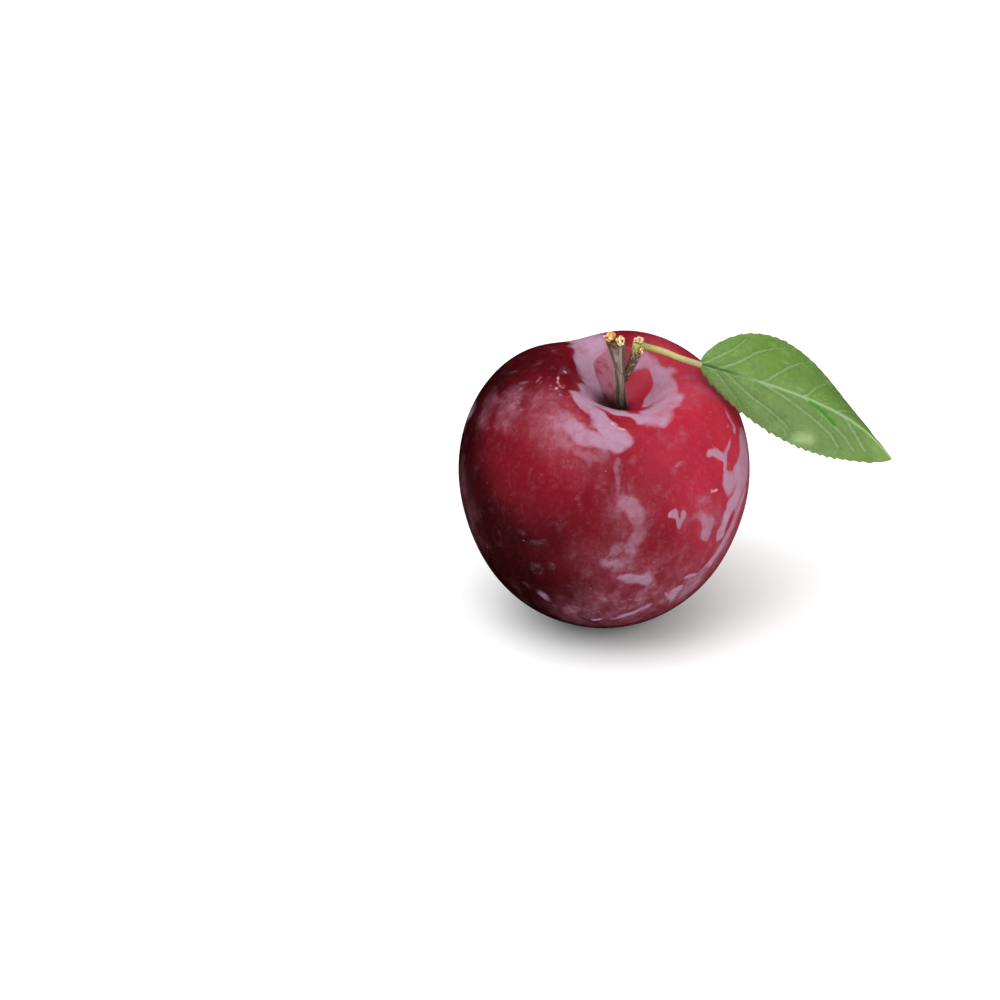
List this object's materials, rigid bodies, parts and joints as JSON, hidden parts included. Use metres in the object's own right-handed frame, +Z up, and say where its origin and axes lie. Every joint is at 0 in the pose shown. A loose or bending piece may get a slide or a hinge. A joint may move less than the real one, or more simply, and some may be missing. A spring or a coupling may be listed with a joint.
{
  "type": "plum",
  "caption": "Whole ripe plum with a stalk in its cavity, a short side shoot and a leaf; a natural fruit that rests on a small flat spot.",
  "frame": {"origin": "middle of the small flat spot the plum rests on", "axes": "+Z up, +X the side the leaf points to, -Y the side the fruit's stem end leans towards"},
  "size_m": [0.089, 0.0586, 0.0672],
  "materials": {
    "skin": "satin",
    "bark": "matte",
    "shoot": "matte",
    "petiole": "satin",
    "leaf": "satin",
    "ochre_scale": "matte",
    "cream_scale": "matte",
    "pink_scale": "matte"
  },
  "bodies": {
    "root": {"fruit": "skin", "stalk": "bark", "side_shoot": "shoot", "petiole": "petiole", "leaf": "leaf", "tip_scale_left": "ochre_scale", "tip_scale_right": "cream_scale", "shoot_scale": "pink_scale", "petiole_scale": "cream_scale"}
  },
  "joints": []
}
